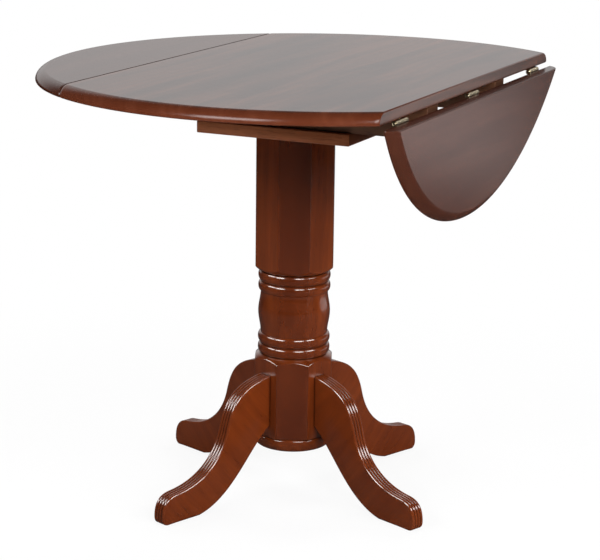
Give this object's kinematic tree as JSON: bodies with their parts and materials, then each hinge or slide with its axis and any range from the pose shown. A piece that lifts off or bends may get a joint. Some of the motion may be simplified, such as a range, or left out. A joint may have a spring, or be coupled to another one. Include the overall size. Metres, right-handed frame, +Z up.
{
  "type": "drop-leaf table",
  "caption": "Round drop-leaf pedestal table: fixed centre board, hinged leaves that fold down, pull-out leaf slides, turned octagonal column and scrolled legs with reeded tops.",
  "frame": {"origin": "on the floor, in the middle of the table's box as it stands with the left leaf up and the right leaf down", "axes": "+Z up, +Y along the hinge lines away from the pictured side, +X towards the hanging leaf"},
  "size_m": [0.8656, 1.0668, 0.8382],
  "materials": {
    "top_wood": "chestnut stain under satin lacquer",
    "base_wood": "chestnut stain under semi-gloss lacquer",
    "under_wood": "thin stain, little lacquer",
    "brass": "brass plate",
    "steel": "flat rolled bar",
    "zinc": "zinc plate"
  },
  "bodies": {
    "base": {"centre_top": "top_wood", "left_near_hinge_pin": "brass", "left_near_hinge_fixed_plate": "brass", "left_middle_hinge_pin": "brass", "left_middle_hinge_fixed_plate": "brass", "left_far_hinge_pin": "brass", "left_far_hinge_fixed_plate": "brass", "left_near_slide_guide": "zinc", "left_far_slide_guide": "zinc", "right_near_hinge_pin": "brass", "right_near_hinge_fixed_plate": "brass", "right_middle_hinge_pin": "brass", "right_middle_hinge_fixed_plate": "brass", "right_far_hinge_pin": "brass", "right_far_hinge_fixed_plate": "brass", "right_near_slide_guide": "zinc", "right_far_slide_guide": "zinc", "near_batten": "under_wood", "near_left_batten_screw": "zinc", "near_left_board_screw": "zinc", "near_right_batten_screw": "zinc", "near_right_board_screw": "zinc", "far_batten": "under_wood", "far_left_batten_screw": "zinc", "far_left_board_screw": "zinc", "far_right_batten_screw": "zinc", "far_right_board_screw": "zinc", "mounting_board": "under_wood", "column": "base_wood", "base_disc": "base_wood", "tie_rod": "zinc", "tie_rod_upper_washer": "zinc", "tie_rod_upper_nut": "zinc", "tie_rod_lower_washer": "zinc", "tie_rod_lower_nut": "zinc", "near_right_leg": "base_wood", "near_right_leg_lower_bolt": "zinc", "near_right_leg_upper_bolt": "zinc", "far_right_leg": "base_wood", "far_right_leg_lower_bolt": "zinc", "far_right_leg_upper_bolt": "zinc", "far_left_leg": "base_wood", "far_left_leg_lower_bolt": "zinc", "far_left_leg_upper_bolt": "zinc", "near_left_leg": "base_wood", "near_left_leg_lower_bolt": "zinc", "near_left_leg_upper_bolt": "zinc"},
    "left_leaf": {"left_leaf": "top_wood", "left_near_hinge_leaf_plate": "brass", "left_middle_hinge_leaf_plate": "brass", "left_far_hinge_leaf_plate": "brass"},
    "right_leaf": {"right_leaf": "top_wood", "right_near_hinge_leaf_plate": "brass", "right_middle_hinge_leaf_plate": "brass", "right_far_hinge_leaf_plate": "brass"},
    "left_near_slide": {"left_near_slide": "steel"},
    "left_far_slide": {"left_far_slide": "steel"},
    "right_near_slide": {"right_near_slide": "steel"},
    "right_far_slide": {"right_far_slide": "steel"}
  },
  "joints": [
    {"name": "left_leaf_hinge", "type": "hinge", "parent": "base", "child": "left_leaf", "pos_m": [-0.20419, 0, 0.8107], "axis": [0, -1, 0], "range_deg": [0, 94.4]},
    {"name": "right_leaf_hinge", "type": "hinge", "parent": "base", "child": "right_leaf", "pos_m": [0.40541, 0, 0.8107], "axis": [0, -1, 0], "range_deg": [0, 94.4]},
    {"name": "left_near_slide_pull", "type": "slide", "parent": "base", "child": "left_near_slide", "axis": [-1, 0, 0], "range_m": [0, 0.155]},
    {"name": "left_far_slide_pull", "type": "slide", "parent": "base", "child": "left_far_slide", "axis": [-1, 0, 0], "range_m": [0, 0.155]},
    {"name": "right_near_slide_pull", "type": "slide", "parent": "base", "child": "right_near_slide", "axis": [1, 0, 0], "range_m": [0, 0.155]},
    {"name": "right_far_slide_pull", "type": "slide", "parent": "base", "child": "right_far_slide", "axis": [1, 0, 0], "range_m": [0, 0.155]}
  ]
}
